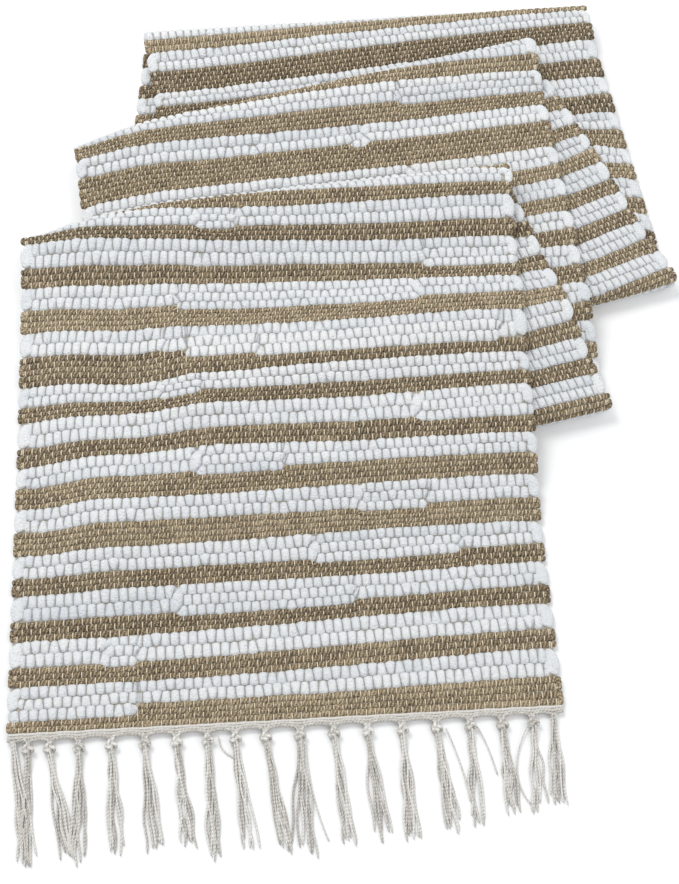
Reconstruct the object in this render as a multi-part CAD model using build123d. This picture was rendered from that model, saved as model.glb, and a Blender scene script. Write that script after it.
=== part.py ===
from build123d import *
import os
from math import atan2, cos, hypot, pi, sin

os.makedirs("parts", exist_ok=True)

# A hand-woven runner of rag and jute weft on a cotton warp, knotted at both ends.
# It lies in a fanned accordion fold: six leaves, each folded under the one before.
# Millimetres, +Z up. The front fringe points to -Y. Leaf 1 is on top, leaf 6 at the bottom.

# The cloth laid flat
WIDTH = 610.0  # 2 ft, selvedge to selvedge
LENGTH = 2743.0  # 9 ft of weaving, without the fringes
HEADER = 9.0  # cotton picks that lock each end of the weaving
HEADER_PICKS = 3
RAG_PICK = 13.4  # one passage of rag weft, beaten flat
JUTE_PICK = 7.2  # one passage of jute weft
RAG_PICKS = 2  # passages in one white stripe
JUTE_PICKS = (4, 3, 3, 3, 4, 4, 3, 3, 3, 4)  # passages in the brown stripes, in turn
JUTE_PICKS += (3,) * 14 + (4, 3, 3, 3, 6, 4) + (3,) * 13 + (4,) * 5 + (3,) * 8
RAG_THICK = 9.0
JUTE_THICK = 7.0
HEADER_THICK = 5.0
WARP_THICK = 1.6  # the layer of warp ends inside every stripe
TURN = 6.0  # depth of the turn that each passage makes round the outer warp end
SLACK = 0.3  # clear space between stripes, and round the warp layer
LEAST_END = 10.0  # no white stripe this narrow is begun at the hidden end

# The fold, seen from above: the left and right end of each crease line
CREASES = (
    ((-305, -8), (305, -8)),  # front edge
    ((-303, 586), (307, 654)),  # first ridge, leaf 1 to leaf 2
    ((-194, 245), (404, 363)),  # first front fold, leaf 2 to leaf 3
    ((-240, 720), (369, 870)),  # second ridge, leaf 3 to leaf 4
    ((-82, 395), (512, 532)),  # second front fold, leaf 4 to leaf 5
    ((-154, 903), (456, 942)),  # third ridge, leaf 5 to leaf 6
)
TAIL_RUN = (-0.108, -0.994)  # leaf 6 runs this way, to the hidden end
CLOTH_RUNS = ((594, 662), (359, 307), (469, 517), (358, 370), (505, 424))  # left, right
ROLLS = (13.0, 11.0, 12.0, 11.0, 12.0)  # radius of the cloth's middle at each fold

# How the leaves lie on each other
REST = RAG_THICK / 2  # height of the cloth's middle on the floor
STEP_UP = 11.2  # each leaf underneath lifts the ones above by this much
FOLD_EASE = 80.0  # a fold's extra height dies away over this distance
SIDE_DRAPE = 90.0  # an upper leaf comes down over a lower side edge in this distance
FOLD_DRAPE = 135.0
END_DRAPE = 60.0

# The fringe, the same at both ends. The two outermost bundles are left unknotted.
BUNDLES_AT = (-297, -281, -258, -227, -193, -157, -123, -90, -60, -27)
BUNDLES_AT += (10, 47, 84, 122, 160, 197, 233, 267, 291)  # across the cloth
LEANS = (0.0, 0.03, 0.1, 0.0, 0.06, 0.1, 0.1, 0.05, 0.1, 0.14)
LEANS += (0.0, 0.11, 0.1, 0.04, 0.08, 0.01, 0.02, -0.04, -0.02)  # sideways per length
REACHES = (125, 118, 115, 120, 112, 112, 112, 122, 114, 120)
REACHES += (125, 117, 114, 114, 109, 104, 95, 94, 100)  # from the knot to the tip
HIDDEN_REACH = 0.5  # the fringe at the hidden end is worn shorter by this much
GATHER = (25.0, 9.0, 3.4, 3.0)  # width at the header, width at the knot, length, height
KNOT = (12.0, 9.6, 8.8)  # across, along and up
KNOT_ROUND = 0.42  # edge radius of the knot, as a share of its height
KNOT_OFF = 8.6  # from the header to the middle of the knot
BELOW_KNOT = 0.8  # from the knot to the loose warp ends
BELOW_HEADER = 2.0  # from the header to the ends that are left unknotted
BUNDLE_TOP = (6.4, 4.6)  # width and height of the loose warp ends below the knot
BUNDLE_MIDDLE = (11.2, 4.4)
BUNDLE_TIP = (16.0, 3.6)
LIFT = 0.1  # loose pieces lie this far clear of the floor

# How finely each stripe follows the cloth's shape
LOOKS = 24  # places across the cloth where a stripe is tested for a fold
FOLD_SLICES = 4  # along a stripe that goes round a fold
FOLD_STRIPS = 8  # across such a stripe
LEAF_STRIPS = 6  # across a stripe on a leaf that isn't level
LEVEL = 0.001  # a stripe whose heights differ by less is one flat strip
FLAT = 1e-6  # four points this near to one plane make one face


def smooth(t):
    t = min(max(t, 0.0), 1.0)
    return t * t * (3 - 2 * t)


def between(a, b, t):
    return tuple(p + (q - p) * t for p, q in zip(a, b))


def tail_end(side):
    """Plan point at the end of leaf 6 and its fringe, on the left (0) or right (1)."""
    fringe = KNOT_OFF + max(REACHES) * HIDDEN_REACH
    run = LENGTH + fringe - sum(r[side] for r in CLOTH_RUNS) - pi * sum(ROLLS)
    start = CREASES[5][side]
    return start[0] + TAIL_RUN[0] * run, start[1] + TAIL_RUN[1] * run


CORNERS = (*CREASES, (tail_end(0), tail_end(1)))


def inside(point, start, end):
    """How far a plan point lies to the left of the line from start to end."""
    along = (end[0] - start[0], end[1] - start[1])
    off = (point[0] - start[0], point[1] - start[1])
    return (along[0] * off[1] - along[1] * off[0]) / hypot(*along)


def cover(leaf, point):
    """1 over a leaf and its folds, falling to 0 where the cloth above comes down."""
    (near_left, near_right), (far_left, far_right) = CORNERS[leaf - 1], CORNERS[leaf]
    if leaf % 2 == 0:
        near_left, near_right, far_left, far_right = far_left, far_right, near_left, near_right
    bulge = max(ROLLS) + RAG_THICK / 2
    near = (2.0, END_DRAPE) if leaf == 6 else (bulge, FOLD_DRAPE)
    reaches = (
        (inside(point, near_left, near_right), *near),
        (inside(point, far_right, far_left), bulge, FOLD_DRAPE),
        (inside(point, near_right, far_right), 2.0, SIDE_DRAPE),
        (inside(point, far_left, near_left), 2.0, SIDE_DRAPE),
    )
    share = 1.0
    for distance, out, drape in reaches:
        share *= smooth((distance + out + drape) / drape)
    return share


def height(leaf, point):
    """Height of a leaf's middle surface over a plan point."""
    total = REST
    for lower in range(leaf + 1, 7):
        left, right = CREASES[lower - 1]
        ease = 1 - smooth(abs(inside(point, left, right)) / FOLD_EASE)
        total += (STEP_UP + (2 * ROLLS[lower - 2] - STEP_UP) * ease) * cover(lower, point)
    return total


def on_leaf(leaf, side, run):
    """A point of the middle surface: run is the cloth used since the leaf began."""
    start = between(*CREASES[leaf - 1], side)
    if leaf == 6:
        plan = (start[0] + TAIL_RUN[0] * run, start[1] + TAIL_RUN[1] * run)
    else:
        plan = between(start, between(*CREASES[leaf], side), run / cloth_run(leaf, side))
    return Vector(*plan, height(leaf, plan))


def cloth_run(leaf, side):
    left, right = CLOTH_RUNS[leaf - 1]
    return left + (right - left) * side


def on_roll(fold, side, angle):
    """A point of the middle surface on the half roll that follows leaf number fold."""
    left, right = CREASES[fold]
    plan = between(left, right, side)
    way = atan2(right[1] - left[1], right[0] - left[0]) + (pi / 2 if fold % 2 else -pi / 2)
    out = ROLLS[fold - 1] * sin(angle)
    low = height(fold + 1, plan)
    rise = ROLLS[fold - 1] * (1 + cos(angle))
    return Vector(plan[0] + out * cos(way), plan[1] + out * sin(way), low + rise)


def region(side, v):
    """The leaf that a cloth point is on and how far along, or the fold and its angle."""
    for leaf in range(1, 7):
        if leaf == 6 or v <= cloth_run(leaf, side):
            return "leaf", leaf, v
        v -= cloth_run(leaf, side)
        if v < pi * ROLLS[leaf - 1]:
            return "fold", leaf, v / ROLLS[leaf - 1]
        v -= pi * ROLLS[leaf - 1]


def middle(u, v):
    """Cloth coordinates (u across from the middle, v along from the front) to space."""
    side = u / WIDTH + 0.5
    kind, number, amount = region(side, v)
    return on_leaf(number, side, amount) if kind == "leaf" else on_roll(number, side, amount)


def cloth(u, v, off):
    """The point at a distance off the middle surface, towards the cloth's face."""
    across = middle(u + 1, v) - middle(u - 1, v)
    along = middle(u, v + 0.5) - middle(u, v - 0.5)
    return middle(u, v) + across.cross(along).normalized() * off


def places(v):
    """What the cloth line at v passes over, from the left selvedge to the right."""
    return {region(i / LOOKS, v)[:2] for i in range(LOOKS + 1)}


def folded(v0, v1):
    return any(kind == "fold" for v in (v0, (v0 + v1) / 2, v1) for kind, _ in places(v))


def slices(v0, v1):
    """Where a band is cut along its length: often round a fold, once on a leaf."""
    count = FOLD_SLICES if folded(v0, v1) else 1
    return [v0 + (v1 - v0) * i / count for i in range(count + 1)]


def across(cuts):
    """Places across the cloth, as shares of its half width, that draw its shape."""
    tries = [WIDTH * share for share in (-0.49, -0.16, 0.16, 0.49)]
    heights = [cloth(u, v, 0).Z for v in (cuts[0], cuts[-1]) for u in tries]
    if max(heights) - min(heights) < LEVEL:
        return [-1, 1]
    count = FOLD_STRIPS if folded(cuts[0], cuts[-1]) else LEAF_STRIPS
    return [2 * i / count - 1 for i in range(count + 1)]


def skin(rows):
    """Flat triangles between rows of points, or one flat face where a strip is flat."""
    faces = []
    for first, second in zip(rows, rows[1:]):
        for a, b, c, d in zip(first, first[1:], second[1:], second):
            if abs((b - a).cross(c - a).normalized().dot(d - a)) < FLAT:
                faces.append(Face(Wire.make_polygon([a, b, c, d])))
            else:
                faces.append(Face(Wire.make_polygon([a, b, c])))
                faces.append(Face(Wire.make_polygon([a, c, d])))
    return faces


def layer(cuts, shares, off, half):
    return [[cloth(share * half, v, off) for share in shares] for v in cuts]


def warp_layer(cuts):
    """A stretch of the cotton warp: a thin closed sheet in the middle of the cloth."""
    cuts = [cuts[0] + SLACK / 4, *cuts[1:-1], cuts[-1] - SLACK / 4]
    half = WIDTH / 2 - TURN - SLACK
    shares = across(cuts)
    top = layer(cuts, shares, WARP_THICK / 2, half)
    bottom = layer(cuts, shares, -WARP_THICK / 2, half)
    faces = skin(top) + skin(bottom)
    for i in (0, -1):
        faces += skin([top[i], bottom[i]])
        faces += skin([[row[i] for row in top], [row[i] for row in bottom]])
    return Solid(Shell(faces))


def sleeve(v0, v1, thick):
    """A stripe of weft: a layer above the warp and one below, joined at both selvedges."""
    cuts = slices(v0, v1)
    shares = across(cuts)
    slot = WARP_THICK / 2 + SLACK
    top = layer(cuts, shares, thick / 2, WIDTH / 2)
    bottom = layer(cuts, shares, -thick / 2, WIDTH / 2)
    ceiling = layer(cuts, shares, slot, WIDTH / 2 - TURN)
    floor = layer(cuts, shares, -slot, WIDTH / 2 - TURN)
    faces = skin(top) + skin(bottom) + skin(ceiling) + skin(floor)
    for i in (0, -1):
        for upper, lower in ((top, bottom), (ceiling, floor)):
            faces += skin([[row[i] for row in upper], [row[i] for row in lower]])
        faces += skin([top[i], ceiling[i]]) + skin([bottom[i], floor[i]])
        for j in (0, -1):
            faces += skin([[top[i][j], bottom[i][j]], [ceiling[i][j], floor[i][j]]])
    return Solid(Shell(faces))


def stripes():
    """(material, start, end) of every stripe, from the front header to the back one."""
    v, number = HEADER, 0
    while True:
        picks = JUTE_PICKS[number % len(JUTE_PICKS)]
        if v + picks * JUTE_PICK > LENGTH - HEADER - LEAST_END:
            yield "jute", v, LENGTH - HEADER
            return
        yield "jute", v, v + picks * JUTE_PICK
        v += picks * JUTE_PICK
        rag_end = min(v + RAG_PICKS * RAG_PICK, LENGTH - HEADER)
        yield "rag", v, rag_end
        v, number = rag_end, number + 1
        if v >= LENGTH - HEADER:
            return


PLACE_NAMES = {("leaf", n): f"leaf_{n}" for n in range(1, 7)}
PLACE_NAMES |= {("fold", n): f"ridge_{(n + 1) // 2}" for n in (1, 3, 5)}
PLACE_NAMES |= {("fold", n): f"front_fold_{n // 2}" for n in (2, 4)}


def place_name(v0, v1):
    """Names the fold that a stripe touches, or else the leaf that it lies on."""
    found = places(v0) | places((v0 + v1) / 2) | places(v1)
    folds = sorted(place for place in found if place[0] == "fold")
    return PLACE_NAMES[folds[0] if folds else sorted(found)[0]]


def ellipse_at(centre, out, width, high):
    plane = Plane(centre, x_dir=Vector(-out.Y, out.X, 0), z_dir=out)
    return plane * Ellipse(width / 2, high / 2)


def bundle(start, out, lean, reach):
    """Loose warp ends below a knot: narrow at the top, spread and flat at the tip."""
    way = (out + Vector(-out.Y, out.X, 0) * lean).normalized()
    sections = []
    for share, (wide, high) in ((0.0, BUNDLE_TOP), (0.5, BUNDLE_MIDDLE), (1.0, BUNDLE_TIP)):
        centre = start + way * reach * share
        centre = Vector(centre.X, centre.Y, high / 2 + LIFT)
        sections.append(ellipse_at(centre, way, wide, high).face())
    return loft(sections)


def knot(centre, out):
    """An overhand knot, drawn as a rounded barrel that lies on the floor."""
    across, along, up = KNOT
    plane = Plane(centre, x_dir=out, z_dir=(0, 0, 1))
    body = Box(along, across, up)
    return (plane * fillet(body.edges(), up * KNOT_ROUND)).solid()


def gather(edge, out):
    """Warp ends drawn together from the header to one knot."""
    wide, narrow, long, high = GATHER
    outline = Polyline(
        (SLACK, -wide / 2), (long, -narrow / 2), (long, narrow / 2), (SLACK, wide / 2), close=True
    )
    plane = Plane(Vector(edge.X, edge.Y, LIFT), x_dir=out, z_dir=(0, 0, 1))
    return extrude(plane * make_face(outline), high).solid()


def fringe(end, edge_point, out, reach_share):
    """Gathers, knots and loose bundles along one end of the cloth."""
    outermost = (BUNDLES_AT[0], BUNDLES_AT[-1])
    for u, lean, reach in zip(BUNDLES_AT, LEANS, REACHES):
        edge = edge_point(u)
        if u not in outermost:
            middle_of_knot = edge + out * KNOT_OFF + Vector(0, 0, KNOT[2] / 2 + LIFT)
            add(f"{end}_warp_gathers", gather(edge, out))
            add(f"{end}_knots", knot(middle_of_knot, out))
            start = middle_of_knot + out * (KNOT[1] / 2 + BELOW_KNOT)
        else:
            start = edge + out * BELOW_HEADER
        add(f"{end}_fringe_bundles", bundle(start, out, lean, reach * reach_share))


def front_edge(u):
    return Vector(u, CREASES[0][0][1], 0)


def back_edge(u):
    side = u / WIDTH + 0.5
    used = sum(cloth_run(leaf, side) for leaf in range(1, 6)) + pi * sum(ROLLS)
    point = on_leaf(6, side, LENGTH - used)
    return Vector(point.X, point.Y, 0)


nodes = {}


def add(name, *solids):
    nodes.setdefault(name, []).extend(solids)


weft = list(stripes())
for material, v0, v1 in weft:
    thick = RAG_THICK if material == "rag" else JUTE_THICK
    band = sleeve(v0 + SLACK / 2, v1 - SLACK / 2, thick)
    add(f"{material}_stripes_{place_name(v0, v1)}", band)

for end, first in (("front", 0.0), ("back", LENGTH - HEADER)):
    for pick in range(HEADER_PICKS):
        v0 = first + pick * HEADER / HEADER_PICKS
        v1 = v0 + HEADER / HEADER_PICKS
        add(f"{end}_header_picks", sleeve(v0 + SLACK / 2, v1 - SLACK / 2, HEADER_THICK))

# The warp: one layer of cotton ends from header to header, parted where the cloth folds
stretches = [("leaf_1", [0.0, HEADER])]
for _, v0, v1 in weft:
    if place_name(v0, v1) != stretches[-1][0]:
        stretches.append((place_name(v0, v1), [v0]))
    stretches[-1][1].extend(slices(v0, v1)[1:])
stretches[-1][1].append(LENGTH)
for name, cuts in stretches:
    add(f"warp_ends_{name}", warp_layer(cuts))

# Each fringe lies square to its end of the cloth
fringe("front", front_edge, Vector(0, -1, 0), 1.0)
back_line = back_edge(WIDTH / 2) - back_edge(-WIDTH / 2)
fringe("back", back_edge, back_line.cross(Vector(0, 0, 1)).normalized(), HIDDEN_REACH)

whole = Compound([solid for solids in nodes.values() for solid in solids]).bounding_box()
to_origin = Vector(-whole.center().X, -whole.center().Y, -whole.min.Z)
for name, solids in nodes.items():
    export_step(Compound([solid.translate(to_origin) for solid in solids]), f"parts/{name}.step")
    print(name, len(solids))
print("moved by", to_origin, "size", whole.size)
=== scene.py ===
from math import cos, pi, radians, sin

import bpy
import numpy as np
from mathutils import Matrix, Vector


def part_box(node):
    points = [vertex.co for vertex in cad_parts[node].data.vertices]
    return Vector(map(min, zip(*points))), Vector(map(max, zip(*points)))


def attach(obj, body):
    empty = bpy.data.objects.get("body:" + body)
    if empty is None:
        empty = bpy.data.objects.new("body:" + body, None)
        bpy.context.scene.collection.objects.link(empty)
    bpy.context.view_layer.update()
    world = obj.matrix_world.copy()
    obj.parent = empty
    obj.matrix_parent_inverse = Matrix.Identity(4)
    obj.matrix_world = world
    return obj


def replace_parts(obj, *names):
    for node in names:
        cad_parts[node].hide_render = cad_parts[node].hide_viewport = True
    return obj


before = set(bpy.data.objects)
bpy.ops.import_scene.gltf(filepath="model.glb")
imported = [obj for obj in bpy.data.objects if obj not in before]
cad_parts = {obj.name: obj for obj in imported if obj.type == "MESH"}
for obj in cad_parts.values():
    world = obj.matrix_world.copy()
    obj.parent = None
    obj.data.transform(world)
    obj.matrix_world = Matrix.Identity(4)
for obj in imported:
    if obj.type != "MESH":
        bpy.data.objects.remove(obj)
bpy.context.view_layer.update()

# THE WOVEN GROUND. The core of the runner, where warp and weft bind: one cloth, 2 ft by 9 ft,
# that runs unbroken from header to header. It lies in a fanned accordion fold, six leaves
# deep, each leaf folded back under the one before it. Lengths here are in millimetres.
WIDTH, LENGTH = 610.0, 2743.0
CREASES = (
    ((-305, -8), (305, -8)),
    ((-303, 586), (307, 654)),
    ((-194, 245), (404, 363)),
    ((-240, 720), (369, 870)),
    ((-82, 395), (512, 532)),
    ((-154, 903), (456, 942)),
)
TAIL_RUN = (-0.108, -0.994)
CLOTH_RUNS = ((594, 662), (359, 307), (469, 517), (358, 370), (505, 424))
ROLLS = (13.0, 11.0, 12.0, 11.0, 12.0)
RAG_THICK = 9.0
REST = RAG_THICK / 2
STEP_UP = 11.2
FOLD_EASE = 80.0
SIDE_DRAPE, FOLD_DRAPE, END_DRAPE = 90.0, 135.0, 60.0
OUT_AT_SIDE = 2.0
KNOT_OFF = 8.6
HIDDEN_REACH = 0.5
LONGEST = 125.0
GROUND_THICK = 1.0
U_STEP, V_STEP, SPARE = 5.0, 1.5, 15.0
GROUND_COLOUR = (0.50, 0.44, 0.34)
GROUND_STEP, GROUND_INSET = 4.0, 6.0
HEADER_CORNER = (0.305, 0.00785)
METRE = 0.001

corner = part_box("front_header_picks")[0]
moved = np.array((corner.x + HEADER_CORNER[0], corner.y + HEADER_CORNER[1], 0.0))
rng = np.random.default_rng(7)


def smooth(t):
    t = np.clip(t, 0.0, 1.0)
    return t * t * (3 - 2 * t)


def inside(point, start, end):
    """How far plan points lie to the left of the line from start to end."""
    along = np.subtract(end, start)
    off = point - np.array(start, float)
    return (along[0] * off[..., 1] - along[1] * off[..., 0]) / np.hypot(*along)


def between(pair, side):
    start, end = np.array(pair, float)
    return start + (end - start) * np.asarray(side)[..., None]


def leaf_run(leaf, side):
    left, right = CLOTH_RUNS[leaf - 1]
    return left + (right - left) * side


def tail_end(side):
    run = LENGTH + KNOT_OFF + LONGEST * HIDDEN_REACH - pi * sum(ROLLS)
    run -= sum(pair[side] for pair in CLOTH_RUNS)
    return tuple(np.add(CREASES[5][side], np.multiply(TAIL_RUN, run)))


corners = (*CREASES, (tail_end(0), tail_end(1)))


def cover(leaf, point):
    """1 over a leaf and its folds, falling to 0 where the cloth above comes down."""
    (near_left, near_right), (far_left, far_right) = corners[leaf - 1], corners[leaf]
    if leaf % 2 == 0:
        near_left, near_right, far_left, far_right = far_left, far_right, near_left, near_right
    bulge = max(ROLLS) + RAG_THICK / 2
    near = (OUT_AT_SIDE, END_DRAPE) if leaf == 6 else (bulge, FOLD_DRAPE)
    share = smooth((inside(point, near_left, near_right) + sum(near)) / near[1])
    far = inside(point, far_right, far_left) + bulge + FOLD_DRAPE
    share *= smooth(far / FOLD_DRAPE)
    for start, end in ((near_right, far_right), (far_left, near_left)):
        share *= smooth((inside(point, start, end) + OUT_AT_SIDE + SIDE_DRAPE) / SIDE_DRAPE)
    return share


def height(leaf, point):
    """Height of a leaf's middle over plan points, resting on every leaf below it."""
    total = np.full(point.shape[:-1], REST)
    for lower in range(leaf + 1, 7):
        ease = 1 - smooth(np.abs(inside(point, *CREASES[lower - 1])) / FOLD_EASE)
        lift = STEP_UP + (2 * ROLLS[lower - 2] - STEP_UP) * ease
        total += lift * cover(lower, point)
    return total


def on_leaf(leaf, side, run):
    start = between(CREASES[leaf - 1], side)
    if leaf == 6:
        plan = start + np.array(TAIL_RUN) * run[:, None]
    else:
        end = between(CREASES[leaf], side)
        plan = start + (end - start) * (run / leaf_run(leaf, side))[:, None]
    return np.column_stack((plan, height(leaf, plan)))


def on_roll(fold, side, angle):
    """Points on the half roll that joins leaf number fold to the leaf under it."""
    (x0, y0), (x1, y1) = CREASES[fold]
    plan = between(CREASES[fold], side)
    way = np.arctan2(y1 - y0, x1 - x0) + (pi / 2 if fold % 2 else -pi / 2)
    low = height(fold + 1, plan)
    out = ROLLS[fold - 1] * np.sin(angle)
    shifted = plan + out[:, None] * (np.cos(way), np.sin(way))
    return np.column_stack((shifted, low + ROLLS[fold - 1] * (1 + np.cos(angle))))


def middle(u, v):
    """The cloth's middle for points u across and v along, walked leaf by leaf."""
    side, rest_of_v = u / WIDTH + 0.5, v.copy()
    point = np.zeros((len(u), 3))
    placed = np.zeros(len(u), bool)
    for leaf in range(1, 7):
        run = leaf_run(leaf, side) if leaf < 6 else np.inf
        here = ~placed & (rest_of_v <= run)
        point[here] = on_leaf(leaf, side[here], rest_of_v[here])
        placed |= here
        if leaf == 6:
            return point
        rest_of_v = rest_of_v - run
        here = ~placed & (rest_of_v < pi * ROLLS[leaf - 1])
        point[here] = on_roll(leaf, side[here], rest_of_v[here] / ROLLS[leaf - 1])
        placed |= here
        rest_of_v = rest_of_v - pi * ROLLS[leaf - 1]


grid_u = np.arange(-WIDTH / 2 - U_STEP, WIDTH / 2 + U_STEP + 0.1, U_STEP)
grid_v = np.arange(-SPARE, LENGTH + SPARE, V_STEP)
all_u, all_v = np.meshgrid(grid_u, grid_v)
surface = middle(all_u.ravel(), all_v.ravel()).reshape(*all_u.shape, 3)
facing = np.cross(np.gradient(surface, axis=1), np.gradient(surface, axis=0))
facing /= np.linalg.norm(facing, axis=2, keepdims=True)
surface = np.concatenate((surface, facing), axis=2)


def lay(u, v, off):
    """Places in the room, in metres, of cloth points that stand off its middle."""
    u, v, off = np.broadcast_arrays(u, v, off)
    a, b = (u - grid_u[0]) / U_STEP, (v - grid_v[0]) / V_STEP
    i = np.clip(a.astype(int), 0, len(grid_u) - 2)
    j = np.clip(b.astype(int), 0, len(grid_v) - 2)
    a, b = (a - i)[..., None], (b - j)[..., None]
    near = surface[j, i] * (1 - a) + surface[j, i + 1] * a
    far = surface[j + 1, i] * (1 - a) + surface[j + 1, i + 1] * a
    mixed = near * (1 - b) + far * b
    return (mixed[..., :3] + mixed[..., 3:] * off[..., None]) * METRE + moved


def make_piece(name, parts, material):
    """One mesh object from parts: points, faces, tint, yarn lay and painted shade in the grooves."""
    points = np.concatenate([part[0] for part in parts])
    starts = np.cumsum([0] + [len(part[0]) for part in parts])
    faces, sizes = [], []
    for part, start in zip(parts, starts):
        for block in part[1]:
            faces.append((block + start).ravel())
            sizes.append(np.full(len(block), block.shape[1]))
    faces, sizes = np.concatenate(faces), np.concatenate(sizes)
    mesh = bpy.data.meshes.new(name)
    mesh.vertices.add(len(points))
    mesh.vertices.foreach_set("co", points.astype(np.float32).ravel())
    mesh.loops.add(len(faces))
    mesh.loops.foreach_set("vertex_index", faces.astype(np.int32))
    mesh.polygons.add(len(sizes))
    mesh.polygons.foreach_set("loop_start", (np.cumsum(sizes) - sizes).astype(np.int32))
    mesh.polygons.foreach_set("use_smooth", np.ones(len(sizes), bool))
    tint = mesh.attributes.new("tint", "FLOAT", "POINT")
    tint.data.foreach_set("value", np.concatenate([part[2] for part in parts]).astype(np.float32))
    yarn_lay = mesh.attributes.new("yarn_lay", "FLOAT_VECTOR", "POINT")
    lays = np.concatenate([part[3] for part in parts]).astype(np.float32)
    yarn_lay.data.foreach_set("vector", lays.ravel())
    # Painted shade: how far each point's colour is darkened in the dips between pillows and where the
    # warp sinks.
    groove_shade = mesh.attributes.new("groove_shade", "FLOAT", "POINT")
    groove_shade.data.foreach_set("value", np.concatenate([part[4] for part in parts]).astype(np.float32))
    mesh.update(calc_edges=True)
    mesh.validate()
    piece = bpy.data.objects.new(name, mesh)
    bpy.context.scene.collection.objects.link(piece)
    mesh.materials.append(material)
    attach(piece, "root")
    return piece


class Finish:
    """A material and the few node calls that every yarn's finish is built from."""

    def __init__(self, name, roughness, sheen):
        self.material = bpy.data.materials.new(name)
        self.material.use_nodes = True
        self.tree = self.material.node_tree
        self.shader = self.tree.nodes["Principled BSDF"]
        self.shader.inputs["Roughness"].default_value = roughness
        self.shader.inputs["Sheen Weight"].default_value = sheen
        self.shader.inputs["Sheen Roughness"].default_value = 0.6
        self.shader.inputs["Specular IOR Level"].default_value = 0.15

    def node(self, kind, operation=None, **inputs):
        made = self.tree.nodes.new(kind)
        if operation:
            made.operation = operation
        for key, value in inputs.items():
            by_number = key[0] == "i" and key[1:].isdigit()
            socket = made.inputs[int(key[1:]) if by_number else key]
            if isinstance(value, bpy.types.NodeSocket):
                self.tree.links.new(value, socket)
            else:
                socket.default_value = value
        return made

    def maths(self, operation, a, b=0.0, c=0.0):
        return self.node("ShaderNodeMath", operation, i0=a, i1=b, i2=c).outputs[0]

    def attribute(self, name):
        made = self.tree.nodes.new("ShaderNodeAttribute")
        made.attribute_name = name
        return made

    def noise(self, where, scale, detail=3.0):
        return self.node("ShaderNodeTexNoise", Vector=where, Scale=scale, Detail=detail).outputs[0]

    def ramp(self, factor, *stops):
        made = self.tree.nodes.new("ShaderNodeValToRGB")
        ramp = made.color_ramp
        while len(ramp.elements) < len(stops):
            ramp.elements.new(0.5)
        for element, (place, colour) in zip(ramp.elements, stops):
            element.position = place
            element.color = (*colour, 1.0)
        self.tree.links.new(factor, made.inputs[0])
        return made.outputs[0]

    def mix(self, factor, a, b):
        made = self.tree.nodes.new("ShaderNodeMix")
        made.data_type = "RGBA"
        for socket, value in ((made.inputs[0], factor), (made.inputs[6], a), (made.inputs[7], b)):
            if isinstance(value, bpy.types.NodeSocket):
                self.tree.links.new(value, socket)
            elif isinstance(value, tuple):
                socket.default_value = (*value, 1.0)
            else:
                socket.default_value = value
        return made.outputs[2]

    def twist(self, turns_per_metre, plies):
        """A wave that winds round the yarn: its plies, 0 in the grooves and 1 on top."""
        parts = self.node("ShaderNodeSeparateXYZ", i0=self.attribute("yarn_lay").outputs["Vector"])
        angle = self.maths("ARCTAN2", parts.outputs[2], parts.outputs[1])
        phase = self.maths("MULTIPLY", parts.outputs[0], turns_per_metre * 2 * pi)
        phase = self.maths("MULTIPLY_ADD", angle, float(plies), phase)
        return self.maths("MULTIPLY_ADD", self.maths("SINE", phase), 0.5, 0.5)

    def done(self, colour, bump, depth):
        self.tree.links.new(colour, self.shader.inputs["Base Color"])
        made = self.node("ShaderNodeBump", Height=bump, Distance=depth, Strength=1.0)
        self.tree.links.new(made.outputs[0], self.shader.inputs["Normal"])
        return self.material


def ground_cloth():
    """The core of the cloth, one thin closed sheet from header to header."""
    us = np.linspace(-WIDTH / 2 + GROUND_INSET, WIDTH / 2 - GROUND_INSET, 61)
    vs = np.arange(2.0, LENGTH - 1, GROUND_STEP)
    u, v = np.meshgrid(us, vs)
    top, bottom = lay(u, v, GROUND_THICK / 2), lay(u, v, -GROUND_THICK / 2)
    rows, columns = u.shape
    index = np.arange(rows * columns).reshape(rows, columns)
    quads = (index[:-1, :-1], index[:-1, 1:], index[1:, 1:], index[1:, :-1])
    a, b, c, d = (part.ravel() for part in quads)
    under = rows * columns
    faces = [np.column_stack((a, b, c, d)), np.column_stack((d, c, b, a)) + under]
    for rim, turn in ((index[0], 1), (index[-1], -1), (index[:, 0], -1), (index[:, -1], 1)):
        p, q = rim[:-1], rim[1:]
        wall = np.column_stack((q, p, p + under, q + under))
        faces.append(wall[:, ::turn])
    points = np.concatenate((top.reshape(-1, 3), bottom.reshape(-1, 3)))
    lays = np.column_stack((np.tile(v.ravel() * METRE, 2), np.ones(2 * under), np.zeros(2 * under)))
    return points, faces, np.zeros(2 * under), lays, np.zeros(2 * under)


finish = Finish("bound_core", 0.9, 0.1)
spots = finish.noise(finish.node("ShaderNodeTexCoord").outputs["Object"], 160.0)
shades = finish.ramp(spots, (0.3, tuple(0.6 * c for c in GROUND_COLOUR)), (0.7, GROUND_COLOUR))
core_finish = finish.done(shades, spots, 0.0006)
ground = make_piece("woven_ground", [ground_cloth()], core_finish)


# THE WEAVE PLAN. Passages of weft in the order they were beaten in: jute, then two of rag.
# The weaver often changes yarn part of the way across, so the stripes step and wander.
# Stripe pairs are numbered from the front header, and places are in millimetres.
HEADER = 9.0
RAG_PICK, JUTE_PICK = 13.4, 7.2
RAG_PICKS = 2
JUTE_PICKS = (4, 3, 3, 3, 4, 4, 3, 3, 3, 4)
JUTE_PICKS += (3,) * 14 + (4, 3, 3, 3, 6, 4) + (3,) * 13 + (4,) * 5 + (3,) * 8
LEAST_END = 10.0
WARP_COUNT = 118
WARP_PITCH = (WIDTH - 18.0) / (WARP_COUNT - 1)
FIRST_END = -WIDTH / 2 + 9.0
WANDER = 3.0
EASE_LENGTH = 9.0
RAG_SPREAD = 1.1
FULL = (-400, 400)
plan_u = np.linspace(-WIDTH / 2, WIDTH / 2, 245)
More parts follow.
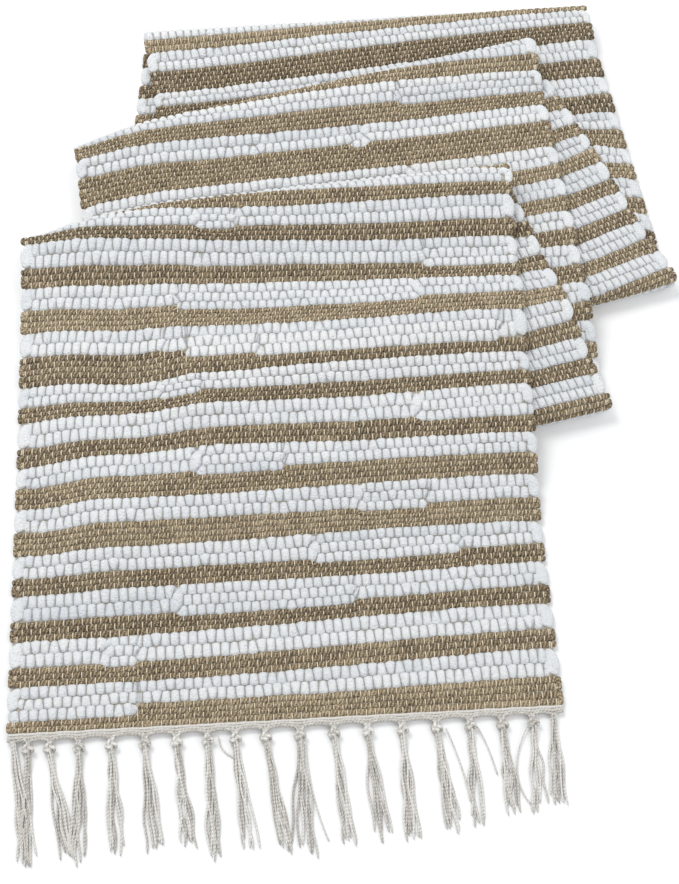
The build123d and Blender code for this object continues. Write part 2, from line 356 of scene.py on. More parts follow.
# Where one rag strip laps over the next: stripe, and how far across each of three rows runs
RAG_ROWS = {
    0: ((-400, -165), FULL, FULL), 1: ((-400, -165), FULL, (-200, 400)),
    2: ((-400, 80), FULL, (-120, 400)), 3: ((-400, 205), FULL, (35, 400)),
    4: ((-400, 170), FULL, (90, 400)), 5: ((-400, 5), FULL, (-95, 400)),
    6: (FULL, FULL, (165, 400)), 8: ((-105, 270), FULL, FULL),
    9: ((-115, 400), FULL, (-400, 175)), 10: ((185, 400), FULL, FULL),
    27: (FULL, FULL, (-400, 110)), 28: ((40, 400), FULL, (-400, 60)),
    29: ((110, 400), FULL, FULL), 48: (FULL, FULL, FULL),
}
# The stripes where the jute is not a plain run of whole passages
JUTE_ROWS = {
    0: (FULL, FULL, (-165, 400), (-165, 400)),
    8: (FULL, FULL, (-400, -20), (-400, -130), (-400, -105)),
    47: (FULL,) * 5, 48: (FULL, FULL),
}
# How far the far line of a stripe pair sways at four places, from the left to the right
SWAY_AT = (-300, -100, 100, 300)
SWAYS = {
    0: (-7, -6, 1, 10), 1: (-6, -1, 6, 12), 2: (-3, 3, 6, 14), 3: (-3, -2, 8, 15),
    4: (-3, -7, 5, 13), 5: (-9, -4, -1, 5), 6: (-2, -3, 4, 17), 7: (-5, -18, -3, 9),
    8: (18, 0, 1, 11), 9: (20, 2, 3, 0), 10: (26, 5, 4, 6), 11: (8, -6, 2, 13),
    27: (22, 16, 6, 2), 28: (17, 11, 4, 0), 29: (-6, 0, 4, -4),
    45: (-12, -8, -2, 3), 46: (-27, -18, -4, 8), 47: (-25, -19, -9, -4),
}
# The jute of each stripe, from dark (0) to golden (1)
JUTE_SHADES = (0.6, 0.4, 0.15, 0.3, 0.62, 0.5, 0.2, 0.35, 0.38, 0.66, 0.3, 0.25, 0.45)


def gentle(size, waves=5, longest=600.0):
    """A seeded line across the cloth that sways a little."""
    line = np.zeros(len(plan_u))
    for k in range(1, waves + 1):
        line += rng.normal() * np.sin(2 * pi * k * plan_u / longest + rng.uniform(0, 2 * pi)) / k
    return line * size / 1.2


def touched_fold(v0, v1):
    """The first fold that a band of cloth touches, or 0."""
    side = np.linspace(0, 1, 25)
    v = np.array((v0, (v0 + v1) / 2, v1))[:, None]
    start = np.zeros(25)
    for fold in range(1, 6):
        start = start + leaf_run(fold, side)
        if ((v > start) & (v < start + pi * ROLLS[fold - 1])).any():
            return fold
        start = start + pi * ROLLS[fold - 1]
    return 0


def place_name(v0, v1):
    """The fold that a stripe touches, or else the leaf that it lies on."""
    fold = touched_fold(v0, v1)
    if fold:
        return f"ridge_{(fold + 1) // 2}" if fold % 2 else f"front_fold_{fold // 2}"
    start = 0.0
    for leaf in range(1, 6):
        start += min(CLOTH_RUNS[leaf - 1])
        if v0 <= start:
            return f"leaf_{leaf}"
        start += pi * ROLLS[leaf - 1]
    return "leaf_6"


def row_spans(number, picks, count):
    """The passages of a stripe pair, jute first, each with how far across it runs."""
    spans = [("jute", span) for span in JUTE_ROWS.get(number, (FULL,) * picks)]
    if number in RAG_ROWS:
        return spans + [("rag", span) for span in RAG_ROWS[number]]
    start = rng.uniform(-250, 150)
    if count == RAG_PICKS and rng.uniform() < 0.6:
        lap = start + rng.uniform(20, 120)
        return spans + [("rag", (-400, lap)), ("rag", FULL), ("rag", (start, 400))]
    return spans + [("rag", FULL)] * count


def sway_line(number):
    """How far a pair's far line strays from straight, smoothed across the cloth."""
    if number not in SWAYS:
        return gentle(WANDER)
    line = np.interp(plan_u, SWAY_AT, SWAYS[number])
    for _ in range(2):
        line = np.convolve(np.pad(line, 20, mode="edge"), np.full(41, 1 / 41), mode="valid")
    return line + gentle(0.8)


rows = []
line_below = np.full(len(plan_u), HEADER)
passed = np.zeros(len(plan_u), int)
v, number = HEADER, 0
while v < LENGTH - HEADER - 1:
    picks = JUTE_PICKS[number % len(JUTE_PICKS)]
    jute_end = v + picks * JUTE_PICK
    if jute_end > LENGTH - HEADER - LEAST_END:
        jute_end = pair_end = LENGTH - HEADER
        spans = [("jute", FULL)] * max(1, round((jute_end - v) / JUTE_PICK))
    else:
        pair_end = min(jute_end + RAG_PICKS * RAG_PICK, LENGTH - HEADER)
        spans = row_spans(number, picks, max(1, round((pair_end - jute_end) / RAG_PICK)))
    line_above = np.full(len(plan_u), pair_end)
    if pair_end < LENGTH - HEADER - 1:
        line_above = line_above + sway_line(number)
    places = {"jute": place_name(v, jute_end), "rag": place_name(jute_end, pair_end)}
    wide = []
    for kind, (start, end) in spans:
        present = smooth((plan_u - start) / EASE_LENGTH + 0.5)
        present = present * smooth((end - plan_u) / EASE_LENGTH + 0.5)
        pick = RAG_PICK * RAG_SPREAD if kind == "rag" else JUTE_PICK
        wide.append(pick * present * (1 + gentle(0.05)) + 0.02)
        rows.append({"kind": kind, "stripe": number, "present": present > 0.5,
                     "place": places[kind], "count": passed.copy()})
        passed = passed + (present > 0.5)
    wide = np.array(wide) * (line_above - line_below) / np.sum(wide, axis=0)
    edges = line_below + np.cumsum(wide, axis=0)
    for row, edge, width in zip(rows[-len(spans):], edges, wide):
        row["centre"], row["half"] = edge - width / 2, width / 2
    passed = np.full(len(plan_u), np.bincount(passed).argmax())
    line_below, v, number = line_above, pair_end, number + 1


# THE WARP. 118 cotton ends, undyed, that run the whole length of the runner and pass over
# and under the weft by turns. Between the rag pillows they sink deep, where their colour is
# darkened to grey as painted shade, and on the jute they show as short cream dashes. The end
# next to each selvedge is doubled.
WARP_HALF = 0.85
WARP_RISE = {"rag": 1.55, "jute": 2.35}
WARP_SIDES = 4
WARP_STEPS = ((0.2, 0.72), (0.5, 1.0), (0.8, 0.72))
DOUBLED_BY = 1.9
TUCK_IN, CARRY_ON = 2.5, 1.0
WARP_SWAY, WARP_WAVES = 0.25, 0.11


def ring_shape(sides, square):
    """One ring of a yarn: squarer as square falls below 1, then the plain circle."""
    angle = 2 * pi * (np.arange(sides) + 0.5) / sides
    c, s = np.cos(angle), np.sin(angle)
    return np.sign(c) * np.abs(c) ** square, np.sign(s) * np.abs(s) ** square, c, s


def tube(u, v, off, wide, up, down, sides, square=0.8, tint=0.5,
         groove_shade=0.0, groove_shade_under=None):
    """A closed yarn that follows a path on the cloth: wide across, up and down off it."""
    step_u, step_v = np.gradient(u), np.gradient(v)
    reach = np.hypot(step_u, step_v) + 1e-9
    side_u, side_v = -step_v / reach, step_u / reach
    c, s, round_c, round_s = ring_shape(sides, square)
    across = np.outer(wide, c)
    ring_off = off[:, None] + np.where(s > 0, np.outer(up, s), np.outer(down, s))
    points = lay(u[:, None] + side_u[:, None] * across, v[:, None] + side_v[:, None] * across, ring_off)
    along = np.cumsum(reach) * METRE
    lays = np.stack((np.repeat(along[:, None], sides, 1), np.tile(round_c, (len(u), 1)),
                     np.tile(round_s, (len(u), 1))), axis=2)
    # Painted shade for each ring, one value for the top side and one for the under side.
    under = groove_shade if groove_shade_under is None else groove_shade_under
    depth = np.where(s > 0, *(np.broadcast_to(g, len(u))[:, None] for g in (groove_shade, under))).ravel()
    tints = np.full(len(u) * sides, tint)
    return points.reshape(-1, 3), tube_faces(len(u), sides), tints, lays.reshape(-1, 3), depth


def tube_faces(count, sides):
    """The wall of quads round a tube of rings, and a cap at each end."""
    index = np.arange(count * sides).reshape(count, sides)
    a, d = index[:-1], index[1:]
    b, c = np.roll(a, -1, 1), np.roll(d, -1, 1)
    walls = np.column_stack([part.ravel() for part in (a, b, c, d)])
    return [walls, index[:1, ::-1], index[-1:]]


def warp_end(number, at, first, last, extra):
    """One warp end over the passages first to last, sunk into the cloth a little at each end."""
    v, off, buried_shade = [], [], []
    spot = np.abs(plan_u - at).argmin()
    for row in rows[first:last]:
        if not row["present"][spot]:
            continue
        centre = np.interp(at, plan_u, row["centre"])
        half = np.interp(at, plan_u, row["half"])
        over = -1 if (number + row["count"][spot]) % 2 == 0 else 1
        for share, rise in WARP_STEPS:
            v.append(centre + half * (2 * share - 1))
            off.append(over * rise * WARP_RISE[row["kind"]])
            # 1 where the end lies sunk between rag pillows: there its colour takes painted shade.
            buried_shade.append(1.0 if row["kind"] == "rag" else 0.0)
    v = np.concatenate(([v[0] - extra[0]], v, [v[-1] + extra[1]]))
    off = np.concatenate(([0.0], off, [0.0]))
    buried_shade = np.concatenate((buried_shade[:1], buried_shade, buried_shade[-1:]))
    u = np.full(len(v), at) + WARP_SWAY * np.sin(v * WARP_WAVES + number)
    half = np.full(len(v), WARP_HALF)
    return tube(u, v, off, half, half, half, WARP_SIDES, tint=rng.uniform(), groove_shade=buried_shade)


warp_at = FIRST_END + WARP_PITCH * np.arange(WARP_COUNT)
warp_list = [(j, u) for j, u in enumerate(warp_at)]
warp_list += [(0, warp_at[0] - DOUBLED_BY), (WARP_COUNT - 1, warp_at[-1] + DOUBLED_BY)]

finish = Finish("cotton_warp", 0.85, 0.25)
ply = finish.twist(300.0, 2)
fleck = finish.noise(finish.node("ShaderNodeTexCoord").outputs["Object"], 420.0)
tone = finish.maths("MULTIPLY_ADD", ply, 0.35, finish.maths("MULTIPLY", fleck, 0.65))
shades = finish.ramp(tone, (0.25, (0.58, 0.47, 0.30)), (0.55, (0.82, 0.72, 0.54)),
                     (0.8, (0.90, 0.84, 0.70)))
# Painted shade: where the warp sinks between the rag pillows its cream is darkened towards grey.
buried_shade = finish.maths("MULTIPLY", finish.attribute("groove_shade").outputs["Fac"], 0.75)
shades = finish.mix(buried_shade, shades, (0.25, 0.265, 0.30))
warp_finish = finish.done(shades, ply, 0.0004)

warp_parts = {}
start = 0
while start < len(rows):
    end = start
    while end < len(rows) and rows[end]["place"] == rows[start]["place"]:
        end += 1
    lead = TUCK_IN if start == 0 else CARRY_ON
    tail = TUCK_IN if end == len(rows) else CARRY_ON
    ends = [warp_end(j, u, start, end, (lead, tail)) for j, u in warp_list]
    warp_parts.setdefault(rows[start]["place"], []).extend(ends)
    start = end
for name, ends in warp_parts.items():
    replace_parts(make_piece(f"warp_{name}", ends, warp_finish), f"warp_ends_{name}")


# THE WEFT. Strips of white cotton rag, 13 mm to a passage, beaten down into rows of round
# pillows, and two-ply jute at about half that. Each passage turns back round the last warp end:
# the rags in one fat loop over both rows of a stripe, the jute in tight twisted turns.
# kind: (half height, swing, roundness of the swing, steps per warp end, sides, squareness)
WEAVES = {"rag": (2.75, 1.6, 3.0, 4, 8, 0.75), "jute": (2.25, 1.0, 2.8, 3, 6, 0.7)}
INTERLOCK = 0.10
CAP = {"rag": 5.0, "jute": 3.0}
JUTE_LOOP_IN, TURN_HIGH, TURN_ROOM = 4.5, 3.1, 0.3
LOBE_IN = 11.8
LOBE_START, LOBE_TAIL, LOBE_HIGH = 15.0, 6.2, 4.15
LOBE_RINGS = 19
SEAM_HALF = 0.45
SQUEEZE = 0.985
EDGE_ROOM = {"rag": 1.5, "jute": 0.6}
LAP_UNDER = 2.0
GOLDEN_STRIPES, DARK_STRIPES = range(27, 30), range(45, 48)


def swing(u, count, power):
    """1 where a passage lies over a warp end, and -1 where the end passes over it."""
    turn = ((u - FIRST_END) / WARP_PITCH + count) / 2
    turn = np.abs(turn - np.round(turn)) * 2
    return 1 - 2 * turn ** power


def passage(row, kind, start, end, tint):
    """One run of a passage from start to end across the cloth, rounded off at both."""
    base, rise, power, steps, sides, square = WEAVES[kind]
    fine = WARP_PITCH / steps
    first = np.ceil((start + CAP[kind] - FIRST_END) / fine)
    last = np.floor((end - CAP[kind] - FIRST_END) / fine)
    if last - first < 4:
        return None
    inner = FIRST_END + fine * np.arange(first, last + 1)
    ends = CAP[kind] * np.array((0.0, 0.08, 0.3, 0.62))
    u = np.concatenate((start + ends, inner, (end - ends)[::-1]))
    near = np.clip(np.minimum(u - start, end - u) / CAP[kind], 0, 1)
    taper = np.sqrt(np.maximum(1 - (1 - near) ** 2, 0.0004))
    count = row["count"][np.clip(np.searchsorted(plan_u, u), 0, len(plan_u) - 1)]
    q, q_under = swing(u, count, power), swing(u, count + 1, power)
    steps_out = plan_u[1:][np.diff(row["count"]) != 0]
    if len(steps_out):
        away = np.abs(u[:, None] - steps_out).min(axis=1)
        seam = 2 * smooth(away / (SEAM_HALF * WARP_PITCH)) - 1
        q, q_under = np.minimum(q, seam), np.minimum(q_under, seam)
    pillow = np.floor(((u - FIRST_END) / WARP_PITCH + count) / 2 + 0.5).astype(int)
    uneven = rng.normal(0, 1, (pillow.max() - pillow.min() + 1, 2))[pillow - pillow.min()]
    fat = 1 - 0.07 * np.abs(uneven[:, 0]) + rng.normal(0, 0.02, len(u))
    up = (base + rise * q) * taper * fat
    down = (base + rise * q_under) * taper * np.minimum(fat, 1.0)
    centre = np.interp(u, plan_u, row["centre"]) + 0.4 * uneven[:, 1] * (1 + q) / 2
    wide = np.interp(u, plan_u, row["half"]) * (1 + INTERLOCK * q) * taper * SQUEEZE
    # Painted shade for the dips between pillows, on the top side and on the under side.
    groove_shade, groove_shade_under = ((1 - q) / 2) ** 2, ((1 - q_under) / 2) ** 2
    return tube(u, centre, np.zeros(len(u)), wide, up, down, sides, square, tint, groove_shade, groove_shade_under)


def edge_of(row, side):
    """Where along the cloth a passage meets the selvedge of one side."""
    return np.interp(side * WIDTH / 2, plan_u, row["centre"])


def jute_turn(lower, upper, side, tint):
    """Jute's tight turn round the last warp ends, from one passage up to the next."""
    v_low, v_high = edge_of(lower, side), edge_of(upper, side)
    radius = (v_high - v_low) / 2
    half = radius * 0.9
    angle = np.linspace(-pi / 2, pi / 2, 9)
    centre_u = WIDTH / 2 - radius - half - TURN_ROOM
    inner = np.linspace(JUTE_LOOP_IN, 1.0, 3)
    u = np.concatenate((centre_u - inner, centre_u + radius * np.cos(angle), centre_u - inner[::-1]))
    bend = np.concatenate((np.full(3, -radius), radius * np.sin(angle), np.full(3, radius)))
    v = (v_low + v_high) / 2 + bend
    ease = np.concatenate((np.linspace(0.35, 0.95, 3), np.ones(9), np.linspace(0.95, 0.35, 3)))
    sides, square = WEAVES["jute"][4:]
    high = TURN_HIGH * ease
    return tube(u * side, v, np.zeros(len(u)), half * ease, high, high, sides, square, tint)


def rag_lobe(lower, upper, side, tint):
    """A rag's turn: one fat lobe that comes off the upper passage, rolls over the edge of
    the cloth and tucks in under the start of the lower one."""
    v_low, v_high = edge_of(lower, side), edge_of(upper, side)
    half_row = (v_high - v_low) / 2
    t = np.linspace(0, 1, LOBE_RINGS)
    from_edge = LOBE_START - (LOBE_START - half_row * 1.08) * smooth(t * 2.0)
    from_edge = from_edge + 2.5 * smooth((t - 0.6) / 0.4)
    v = v_high + 1.0 - (2 * half_row + LOBE_TAIL) * smooth((t - 0.12) / 0.88)
    rounded = np.sqrt(np.clip(1 - np.clip((t - 0.78) / 0.22, 0, 1) ** 2, 0.002, 1))
    rounded *= 0.55 + 0.45 * smooth(t * 5)
    wide = half_row * (0.84 + 0.20 * np.sin(pi * t)) * rounded
    high = LOBE_HIGH * rounded
    u = side * (WIDTH / 2 - from_edge)
    return tube(u, v, np.zeros(len(u)), wide, high, high, 10, 0.85, tint)


def runs_of(mask):
    """The stretches across the cloth where mask is true."""
    edges = np.flatnonzero(np.diff(np.concatenate(([0], mask.astype(int), [0]))))
    return [(plan_u[a], plan_u[b - 1]) for a, b in zip(edges[::2], edges[1::2]) if b - a > 3]


cloth_parts = {}
set_in = {}
stripe_tint = {}
for number in range(rows[-1]["stripe"] + 1):
    shade = JUTE_SHADES[number % len(JUTE_SHADES)]
    if number in GOLDEN_STRIPES:
        shade = 0.5
    elif number in DARK_STRIPES:
        shade = 0.1
    stripe_tint[number] = shade
    for side, at in ((-1, 0), (1, len(plan_u) - 1)):
        for kind in ("rag", "jute"):
            shown = [i for i, row in enumerate(rows)
                     if row["stripe"] == number and row["kind"] == kind and row["present"][at]]
            if kind == "jute":
                first = 0 if side < 0 else len(shown) % 2
                for i in range(first, len(shown) - 1, 2):
                    low, high = rows[shown[i]], rows[shown[i + 1]]
                    made = jute_turn(low, high, side, stripe_tint[number] + rng.normal(0, 0.1))
                    cloth_parts.setdefault((kind, low["place"]), []).append(made)
                continue
            if len(shown) > 1:
                low, high = shown[-2:]
                set_in[low, side] = set_in[high, side] = LOBE_IN
                made = rag_lobe(rows[low], rows[high], side, rng.uniform())
                cloth_parts.setdefault((kind, rows[low]["place"]), []).append(made)

for i, row in enumerate(rows):
    kind = row["kind"]
    for start, end in runs_of(row["present"]):
        room = EDGE_ROOM[kind]
        start += set_in.get((i, -1), room) if start <= plan_u[0] + 1 else -LAP_UNDER
        end -= set_in.get((i, 1), room) if end >= plan_u[-1] - 1 else -LAP_UNDER
        tint = rng.uniform() if kind == "rag" else stripe_tint[row["stripe"]] + rng.normal(0, 0.1)
        made = passage(row, kind, start, end, tint)
        if made is not None:
            cloth_parts.setdefault((kind, row["place"]), []).append(made)

finish = Finish("cotton_rag", 0.88, 0.3)
where = finish.node("ShaderNodeTexCoord").outputs["Object"]
cloudy = finish.noise(where, 55.0, 2.0)
crease = finish.noise(where, 420.0, 4.0)
own = finish.attribute("tint").outputs["Fac"]
tone = finish.maths("MULTIPLY_ADD", own, 0.35, finish.maths("MULTIPLY", cloudy, 0.65))
shades = finish.ramp(tone, (0.2, (0.72, 0.75, 0.78)), (0.5, (0.84, 0.855, 0.86)),
                     (0.8, (0.90, 0.90, 0.885)))
streak = finish.maths("MULTIPLY", crease, 0.34)
shades = finish.mix(streak, shades, (0.50, 0.53, 0.57))
# Painted shade: the dips between the pillows are darkened towards blue-grey.
sunk_shade = finish.maths("MULTIPLY", finish.attribute("groove_shade").outputs["Fac"], 0.75)
shades = finish.mix(sunk_shade, shades, (0.33, 0.355, 0.40))
speck = finish.maths("GREATER_THAN", finish.noise(where, 260.0, 1.0), 0.765)
shades = finish.mix(finish.maths("MULTIPLY", speck, 0.5), shades, (0.12, 0.11, 0.11))
rag_finish = finish.done(shades, crease, 0.0028)

finish = Finish("jute_yarn", 0.9, 0.1)
where = finish.node("ShaderNodeTexCoord").outputs["Object"]
ply = finish.twist(230.0, 2)
fibre = finish.noise(where, 700.0, 3.0)
patch = finish.noise(where, 60.0, 3.0)
own = finish.attribute("tint").outputs["Fac"]
tone = finish.maths("MULTIPLY_ADD", ply, 0.20, finish.maths("MULTIPLY", fibre, 0.95))
tone = finish.maths("MULTIPLY_ADD", patch, 0.30, finish.maths("SUBTRACT", tone, 0.26))
tone = finish.maths("MULTIPLY_ADD", own, 0.20, tone)
shades = finish.ramp(tone, (0.28, (0.045, 0.032, 0.020)), (0.48, (0.190, 0.140, 0.085)),
                     (0.62, (0.390, 0.302, 0.188)), (0.80, (0.640, 0.530, 0.370)))
# Painted shade: the dips between the jute rows are darkened towards near black.
sunk_shade = finish.maths("MULTIPLY", finish.attribute("groove_shade").outputs["Fac"], 0.75)
shades = finish.mix(sunk_shade, shades, (0.050, 0.037, 0.024))
jute_bump = finish.maths("MULTIPLY_ADD", ply, 0.6, finish.maths("MULTIPLY", fibre, 0.7))
jute_finish = finish.done(shades, jute_bump, 0.0020)

for (kind, place), parts in sorted(cloth_parts.items()):
    material, slot = (rag_finish, "white_rag") if kind == "rag" else (jute_finish, "jute")
    node = f"{kind}_stripes_{place}"
    piece = make_piece(f"{kind}_weft_{place}", parts, material)
    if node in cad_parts:
        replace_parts(piece, node)


# THE HEADERS. Three passages of plain cotton yarn that lock each end of the weaving. They
# are drawn down towards every knot of the fringe and arch up between the knots.
BUNDLES_AT = np.array((-297, -281, -258, -227, -193, -157, -123, -90, -60, -27,
                       10, 47, 84, 122, 160, 197, 233, 267, 291.0))
HEADER_PICKS = 3
SCALLOP = 1.8
PULL_WIDTH = 9.0
PICK_HALF, PICK_HIGH, PICK_SWING = 1.62, 1.75, 0.5


def header_yarns(end):
    """The three passages of one header, pulled out of line by the knots."""
    made = []
    for pick in range(HEADER_PICKS):
        u = np.arange(-WIDTH / 2 + 1.2, WIDTH / 2 - 1.2, WARP_PITCH / 3)
        pull = np.exp(-((u[:, None] - BUNDLES_AT) / PULL_WIDTH) ** 2).max(axis=1)
        outward = (pull - 0.45) * SCALLOP * (1.2 - 0.4 * pick)
        from_edge = (pick + 0.5) * HEADER / HEADER_PICKS - outward
        v = from_edge if end == "front" else LENGTH - from_edge
        q = swing(u, pick, 2.0)
        taper = np.sqrt(np.clip(np.minimum(u - u[0], u[-1] - u) / 2.0, 0.02, 1))
        half = np.full(len(u), PICK_HALF) * taper
        up = (PICK_HIGH + PICK_SWING * q) * taper
        down = (PICK_HIGH - PICK_SWING * q) * taper
        made.append(tube(u, v, np.zeros(len(u)), half, up, down, 6, 0.9, tint=rng.uniform()))
    return made


finish = Finish("fringe_cotton_yarn", 0.9, 0.3)
ply = finish.twist(260.0, 2)
where = finish.node("ShaderNodeTexCoord").outputs["Object"]
fleck = finish.noise(where, 350.0)
own = finish.attribute("tint").outputs["Fac"]
tone = finish.maths("MULTIPLY_ADD", ply, 0.16, finish.maths("MULTIPLY", fleck, 0.45))
tone = finish.maths("MULTIPLY_ADD", own, 0.36, tone)
shades = finish.ramp(tone, (0.22, (0.40, 0.37, 0.33)), (0.5, (0.70, 0.675, 0.63)),
                     (0.8, (0.88, 0.865, 0.83)))
fringe_finish = finish.done(shades, ply, 0.0006)
for end in ("front", "back"):
    piece = make_piece(f"{end}_header", header_yarns(end), fringe_finish)
    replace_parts(piece, f"{end}_header_picks")


# THE FRINGE. The warp ends left over at each end of the weaving, gathered six at a time and
# tied in overhand knots close against the header. The corner bundles are left unknotted.
# Below the knots the twisted ends hang loose and lie on the floor.
LEANS = (0.13, 0.01, 0.19, 0.0, 0.06, 0.10, 0.10, 0.05, 0.10, 0.14,
         0.0, 0.11, 0.10, 0.04, 0.08, 0.01, 0.02, -0.04, -0.02)
REACHES = (125, 118, 115, 120, 112, 112, 112, 122, 114, 120,
           125, 117, 114, 114, 109, 104, 95, 94, 100)
STRANDS = (8, 7, 8, 8, 8, 8, 8, 8, 7, 9, 8, 9, 8, 9, 9, 7, 8, 6, 8)
STRAND_HALF, GATHER_HALF, STRAY_HALF = 1.2, 1.1, 0.9
KNOT_SIZE = (14.0, 11.4, 9.2)
KNOT_STRANDS, KNOT_PLY = 3, 1.3
KNOT_WIDE, KNOT_LONG = 1.35, 1.3
BELOW_KNOT = 3.6
FAN_NEAR, FAN_FAR, FAN_STRAY = 2.4, 5.5, 2.6
SHORTEST = 0.86
# Single ends that missed their knot, each by three points: across, and out from the header
STRAYS = (((-78, 5), (-78, 22), (-62, 28)), ((15, 15), (16, 70), (35, 120)),
          ((170, 10), (186, 50), (190, 88)), ((205, 10), (216, 30), (222, 62)),
          ((262, 10), (230, 60), (255, 95)))


def rope(path, radius, sides=6, tint=0.5):
    """A closed round strand along a path in space, in millimetres."""
    way = np.gradient(path, axis=0)
    way /= np.linalg.norm(way, axis=1, keepdims=True) + 1e-9
    side = np.cross(way, (0.13, 0.21, 0.97))
    for i in range(1, len(side)):
        side[i] = side[i - 1] - way[i] * np.dot(side[i - 1], way[i])
        side[i] /= np.linalg.norm(side[i]) + 1e-9
    side[0] /= np.linalg.norm(side[0]) + 1e-9
    up = np.cross(side, way)
    _, _, c, s = ring_shape(sides, 1.0)
    radius = np.broadcast_to(radius, len(path))
    ring = side[:, None] * c[:, None] + up[:, None] * s[:, None]
    points = path[:, None] + radius[:, None, None] * ring
    reach = np.cumsum(np.linalg.norm(np.gradient(path, axis=0), axis=1)) * METRE
    lays = np.stack((np.repeat(reach[:, None], sides, 1), np.tile(c, (len(path), 1)),
                     np.tile(s, (len(path), 1))), axis=2)
    points = points.reshape(-1, 3) * METRE + moved
    tints = np.full(len(points), tint)
    return points, tube_faces(len(path), sides), tints, lays.reshape(-1, 3), np.zeros(len(points))


def end_frame(end, u):
    """The plan point at one end of the weaving, and the ways out of it and across it."""
    v = np.array((0.0, 0.0, 0.0)) if end == "front" else np.full(3, LENGTH)
    line = middle(np.array((u, -WIDTH / 2, WIDTH / 2)), v)
    along = line[2, :2] - line[1, :2]
    along /= np.linalg.norm(along)
    return line[0, :2], np.array((along[1], -along[0])), along


def from_edge(frame_at, out, sideways, high):
    """Points out from the header, sideways along it and high off the floor."""
    edge, way_out, along = frame_at
    plan = edge + np.outer(out, way_out) + np.outer(sideways, along)
    return np.column_stack((plan, high))


def overhand_knot(frame_at):
    """An overhand knot drawn tight: three strands laid side by side along a trefoil."""
    t = np.linspace(0, 2 * pi, 49)
    turn = rng.uniform(-0.3, 0.3)
    half = np.array(KNOT_SIZE) / 2 - 2 * STRAND_HALF
    x = (np.sin(t + turn) + 2 * np.sin(2 * t + turn)) / 3
    y = (np.cos(t) - 2 * np.cos(2 * t)) / 3
    strands = []
    for k in range(KNOT_STRANDS):
        lean = 2 * pi * k / KNOT_STRANDS + 3 * t
        out = KNOT_OFF + half[1] * KNOT_LONG * y + 0.75 * STRAND_HALF * np.cos(lean)
        high = KNOT_SIZE[2] / 2 + half[2] * np.sin(3 * t) + 0.75 * STRAND_HALF * np.sin(lean) + 0.6
        path = from_edge(frame_at, out, half[0] * KNOT_WIDE * x, high)
        strands.append(rope(path, STRAND_HALF * KNOT_PLY, tint=rng.uniform()))
    return strands


def loose_strands(frame_at, lean, reach, count, start):
    """The warp ends of one bundle, spreading and sinking to the floor."""
    strands = []
    for k in range(count):
        t = np.linspace(0, 1, 36)
        long = reach * rng.uniform(SHORTEST, 1.0)
        spot = (k + 0.5) / count * 2 - 1
        fan = spot * (FAN_NEAR + FAN_FAR * smooth(t * 1.3))
        fan = fan + rng.normal(0, FAN_STRAY) * smooth(t)
        wave = rng.uniform(0.6, 2.0) * np.sin(2 * pi * (t * rng.uniform(1.0, 2.4) + rng.uniform()))
        sideways = fan + wave * smooth(t * 3) + lean * long * t
        top = 2.2 + 1.9 * (k % 3)
        layer = STRAND_HALF + 0.1 + 1.6 * (k % 2) * (1 - smooth(t * 1.5 - 0.5))
        high = layer + (top - STRAND_HALF) * (1 - smooth(t * 4.5))
        path = from_edge(frame_at, start + long * t, sideways, high)
        thin = STRAND_HALF * (1 - 0.5 * smooth((t - 0.95) / 0.05))
        strands.append(rope(path, thin, tint=rng.uniform()))
    return strands


for end in ("front", "back"):
    gathers, knots, bundles = [], [], []
    bounds_u = np.concatenate(([-400], (BUNDLES_AT[1:] + BUNDLES_AT[:-1]) / 2, [400]))
    for k, u in enumerate(BUNDLES_AT):
        spot = end_frame(end, u)
        knotted = 0 < k < len(BUNDLES_AT) - 1
        share = 1.0 if end == "front" else HIDDEN_REACH
        start = KNOT_OFF + BELOW_KNOT if knotted else 0.0
        bundles += loose_strands(spot, LEANS[k], REACHES[k] * share, STRANDS[k], start)
        if not knotted:
            continue
        knots += overhand_knot(spot)
        for at in warp_at[(warp_at > bounds_u[k]) & (warp_at < bounds_u[k + 1])]:
            t = np.linspace(0, 1, 9)
            away = at - u
            sideways = away * (1 - 0.88 * smooth(t * 1.15))
            out = -2.5 + 3.6 * t + (KNOT_OFF - 1.6) * smooth((t - 0.55) / 0.45) - 0.08 * abs(away)
            path = from_edge(spot, out, sideways, REST + 0.6 * np.sin(pi * t))
            gathers.append(rope(path, GATHER_HALF, tint=rng.uniform()))
    for points in STRAYS if end == "front" else ():
        (u, out), bend, tip = np.array(points, float)
        t = np.linspace(0, 1, 25)[:, None]
        path = (1 - t) ** 2 * (u, out) + 2 * t * (1 - t) * bend + t ** 2 * tip
        high = STRAND_HALF + 0.2 + 3.0 * (1 - t[:, 0]) ** 4
        path = from_edge(end_frame(end, u), path[:, 1], path[:, 0] - u, high)
        bundles.append(rope(path, STRAY_HALF, tint=0.7))
    for name, parts, node in (("gathers", gathers, "warp_gathers"), ("tied_knots", knots, "knots"),
                              ("loose_ends", bundles, "fringe_bundles")):
        piece = make_piece(f"{end}_{name}", parts, fringe_finish)
        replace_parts(piece, f"{end}_{node}")


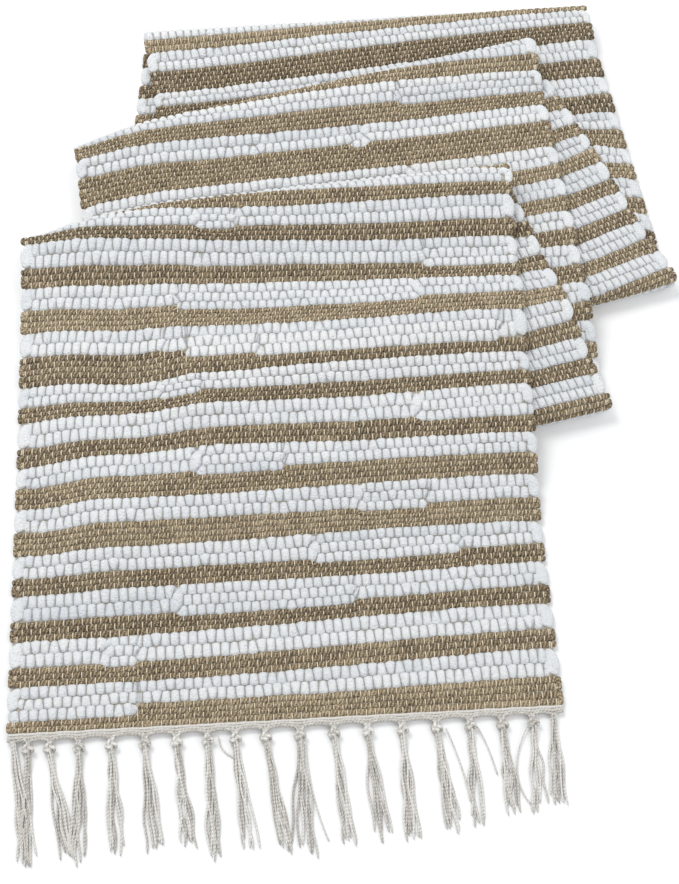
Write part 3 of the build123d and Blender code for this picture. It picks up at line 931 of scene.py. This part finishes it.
# THE FLOOR, THE LIGHT AND THE CAMERA. A plain pale floor under a wide soft studio light.
CAMERA_AT = (-0.04529, -0.22589, 1.38221)
YAW, PITCH, ROLL = radians(12.27), radians(67.78), radians(9.38)
SENSOR = 36
LENS = 1250 / 679 * SENSOR
STUDIO_GLOW = 0.76
bpy.ops.mesh.primitive_plane_add(size=30, location=(0, 0, -0.0005))
floor = bpy.context.object
floor.name = "floor"
finish = Finish("floor_paint", 0.9, 0.0)
grain = finish.noise(finish.node("ShaderNodeTexCoord").outputs["Object"], 3.0)
shades = finish.ramp(grain, (0.0, (0.93, 0.93, 0.93)), (1.0, (0.95, 0.95, 0.95)))
floor.data.materials.append(finish.done(shades, grain, 0.0001))

world = bpy.data.worlds.new("studio")
bpy.context.scene.world = world
world.use_nodes = True
glow = world.node_tree.nodes["Background"]
glow.inputs["Color"].default_value = (0.97, 0.985, 1.0, 1)
glow.inputs["Strength"].default_value = STUDIO_GLOW


def softbox(name, place, target, size, power):
    """A round studio light that faces its target."""
    lamp = bpy.data.lights.new(name, "AREA")
    lamp.shape, lamp.size, lamp.energy = "DISK", size, power
    holder = bpy.data.objects.new(name, lamp)
    bpy.context.scene.collection.objects.link(holder)
    holder.location = place
    aim = np.array(target) - np.array(place)
    holder.rotation_euler = Vector(aim).to_track_quat("-Z", "Y").to_euler()


softbox("key_light", (-1.2, 1.6, 2.6), (0, 0, 0), 1.4, 50)
softbox("fill_light", (1.8, -1.0, 2.4), (0, 0, 0), 2.0, 14)

ahead = np.array((sin(YAW) * cos(PITCH), cos(YAW) * cos(PITCH), -sin(PITCH)))
level = np.array((cos(YAW), -sin(YAW), 0.0))
upright = np.cross(level, ahead)
right = level * cos(ROLL) + upright * sin(ROLL)
upward = upright * cos(ROLL) - level * sin(ROLL)
place = np.array(CAMERA_AT) + moved
camera = bpy.data.objects.new("camera", bpy.data.cameras.new("camera"))
bpy.context.scene.collection.objects.link(camera)
turned = np.column_stack((right, upward, -ahead))
camera.matrix_world = Matrix([(*row, at) for row, at in zip(turned, place)] + [(0, 0, 0, 1)])
camera.data.sensor_fit = "HORIZONTAL"
camera.data.sensor_width = SENSOR
camera.data.lens = LENS
bpy.context.scene.camera = camera
bpy.context.scene.view_settings.view_transform = "Standard"
